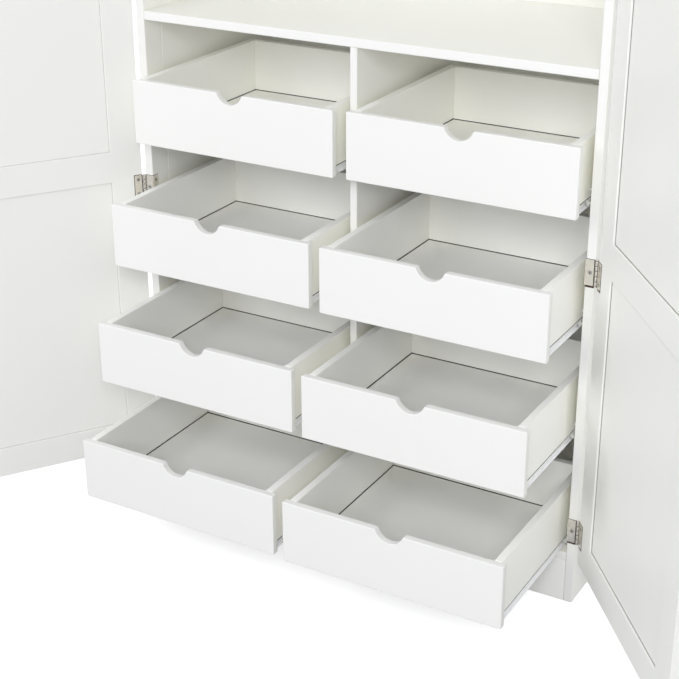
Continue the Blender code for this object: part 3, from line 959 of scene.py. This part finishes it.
for side, sign in signs.items():
    for index in (1, 2, 3, 4):
        low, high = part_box(f"hinge_leaf_{side}_{index}")
        middle, roll = (low.z + high.z) / 2, (high.z - low.z) / knuckles
        spans = [
            (low.z + step * roll + knuckle_gap / 2, low.z + (step + 1) * roll - knuckle_gap / 2)
            for step in range(knuckles)
        ]
        rolls = [
            turned(knuckle_profile(b - a), (sign * pin_x, pin_y, a), (0, 0, 1), around=28) for a, b in spans
        ]
        # the carcass leaf: an angle round the post's corner, with its three knuckles and the pin's tips
        y_front = post_front - 0.0001 - leaf
        reach_in = post_inner - leaf - 0.0001
        angle_outline = [
            (sign * (post_outer - 0.0002), y_front),
            (sign * reach_in, y_front),
            (sign * reach_in, post_front + wrap_depth),
            (sign * (reach_in + leaf), post_front + wrap_depth),
            (sign * (reach_in + leaf), y_front + leaf),
            (sign * (post_outer - 0.0002), y_front + leaf),
        ]
        carcass_leaf = [plate(rounded(angle_outline, 0.0004), low.z, high.z, 2, leaf_ease)]
        neck = (sign * (post_outer - 0.0010), sign * pin_x)
        neck_depth = (y_front + 0.0001, y_front + leaf - 0.0001)
        for step in (0, 2, 4):
            carcass_leaf.append(block(neck, neck_depth, spans[step], 0.0001))
            carcass_leaf.append(rolls[step])
        carcass_leaf.append(turned(tip_profile, (sign * pin_x, pin_y, high.z - 0.0001), (0, 0, 1)))
        carcass_leaf.append(turned(tip_profile, (sign * pin_x, pin_y, low.z + 0.0001), (0, 0, -1)))
        add_piece(f"hinge_carcass_{side}_{index}", carcass_leaf, nickel, "carcass")
        # the pin and a slot strip where the leaf meets the knuckles, both near black as painted shade
        pin_ends = [(pin_radius, 0.0), (pin_radius, high.z - low.z)]
        pin = turned(pin_ends, (sign * pin_x, pin_y, low.z), (0, 0, 1), around=16)
        slot = (sign * (post_outer - 0.0024), sign * (post_outer - 0.0003))
        slot_shade_line = block(slot, (y_front - 0.00008, y_front + 0.0006), (low.z, high.z), slot_ease)
        add_piece(f"hinge_pin_{side}_{index}", [pin, slot_shade_line], gap_shadow, "carcass")
        # its screws: one from the front and two from inside, each ringed by a dark disc as painted shade
        face_seat = [(sign * (post_inner + 0.0085), y_front, middle)]
        wrap_seats = [(sign * reach_in, post_front + 0.0085, middle + step) for step in (-0.015, 0.015)]
        screws = screw_heads(face_seat, (0, -1, 0), 0.0036, turn=0.9)
        screws += screw_heads(wrap_seats, (-sign, 0, 0), 0.0034)
        add_piece(f"hinge_carcass_screws_{side}_{index}", screws, zinc, "carcass")
        shade_discs = countersink_shade_discs(face_seat, (0, -1, 0)) + countersink_shade_discs(wrap_seats, (-sign, 0, 0), 0.0038)
        add_piece(f"hinge_carcass_sinks_{side}_{index}", shade_discs, gap_shadow, "carcass")
        # the mortise in the post: a strip on its front edge and one on its inner face, near black as painted
        # shade
        mortise_height = (low.z - 0.0046, high.z + 0.0008)
        edge_strip = (sign * (post_inner + 0.0004), sign * (post_outer - 0.0006))
        edge_depth = (post_front - mortise_proud, post_front + mortise_sunk)
        face_strip = (sign * (post_inner - mortise_proud), sign * (post_inner + mortise_sunk))
        face_depth = (post_front + 0.0002, post_front + wrap_depth + 0.0008)
        mortise = [
            block(edge_strip, edge_depth, mortise_height, mortise_ease),
            block(face_strip, face_depth, mortise_height, mortise_ease),
        ]
        add_piece(f"hinge_post_mortise_{side}_{index}", mortise, mortise_board_painted_dark, "carcass")
        # the door leaf: made with the door shut, then swung to where it stands
        leaf_low, leaf_high = sorted((sign * (pin_x - leaf_width), sign * (pin_x - barrel - 0.0005)))
        leaf_corners = [(low.z, leaf_low), (low.z, leaf_high), (high.z, leaf_high), (high.z, leaf_low)]
        y_leaf = door_face_in + 0.0002
        door_leaf = [plate(rounded(leaf_corners, leaf_corner), y_leaf, y_leaf + leaf, 1, leaf_ease)]
        neck = (sign * (pin_x - barrel - 0.0010), sign * pin_x)
        neck_depth = (y_leaf + 0.0001, y_leaf + leaf - 0.0001)
        for step in (1, 3):
            door_leaf.append(block(neck, neck_depth, spans[step], 0.0001))
            door_leaf.append(rolls[step])
        add_piece(
            f"hinge_door_{side}_{index}",
            [swung(shape, side) for shape in door_leaf],
            nickel,
            f"door_{side}",
            [f"hinge_leaf_{side}_{index}"],
        )
        # its two screws and the dark slot beside its knuckles, each screw ringed by a dark disc; these are
        # painted shade, and so is the near-black mortise below it
        seats = [(sign * (pin_x - 0.0130), y_leaf + leaf, middle + step) for step in (-0.0155, 0.0155)]
        add_piece(
            f"hinge_door_screws_{side}_{index}",
            [swung(head, side) for head in screw_heads(seats, (0, 1, 0), 0.0036, turn=0.6)],
            zinc,
            f"door_{side}",
        )
        slot = (sign * (pin_x - barrel - 0.0026), sign * (pin_x - barrel - 0.0004))
        door_slot_shade = block(slot, (y_leaf + 0.0006, y_leaf + leaf + 0.00008), (low.z, high.z), slot_ease)
        add_piece(
            f"hinge_door_sinks_{side}_{index}",
            [swung(sink, side) for sink in countersink_shade_discs(seats, (0, 1, 0), 0.0039) + [door_slot_shade]],
            gap_shadow,
            f"door_{side}",
        )
        pocket_width = (sign * (pin_x - leaf_width - 0.0013), sign * (post_outer - 0.0014))
        pocket_depth = (door_face_in - 0.0006, door_face_in + mortise_proud)
        pocket = block(pocket_width, pocket_depth, mortise_height, mortise_ease)
        add_piece(f"hinge_door_mortise_{side}_{index}", [swung(pocket, side)], mortise_board_painted_dark, f"door_{side}")


# Knobs: turned mushroom knobs in satin nickel on each door's outer face, drawn up by a screw through the
# stile. The face is slightly domed, and a thin base ring sits against the lacquer.
knob_profile = [
    (0.0088, 0.0),
    (0.0098, 0.0002),
    (0.0101, 0.0008),
    (0.0098, 0.0014),
    (0.0088, 0.0018),
    (0.0070, 0.0024),
    (0.0062, 0.0040),
    (0.0059, 0.0065),
    (0.0059, 0.0085),
    (0.0064, 0.0110),
    (0.0085, 0.0138),
    (0.0118, 0.0160),
    (0.0140, 0.0180),
    (0.0149, 0.0200),
    (0.0150, 0.0215),
    (0.0146, 0.0229),
    (0.0135, 0.0240),
    (0.0115, 0.0248),
    (0.0080, 0.0255),
    (0.0040, 0.0259),
    (0.0008, 0.0260),
]
for side, sign in signs.items():
    low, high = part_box(f"knob_{side}")
    centre = (sign * (door_edge_in + stile / 2), door_face_out - 0.0002, (low.z + high.z) / 2)
    knob = swung(turned(knob_profile, centre, (0, -1, 0), around=48), side)
    add_piece(f"turned_knob_{side}", [knob], nickel, f"door_{side}", [f"knob_{side}"])
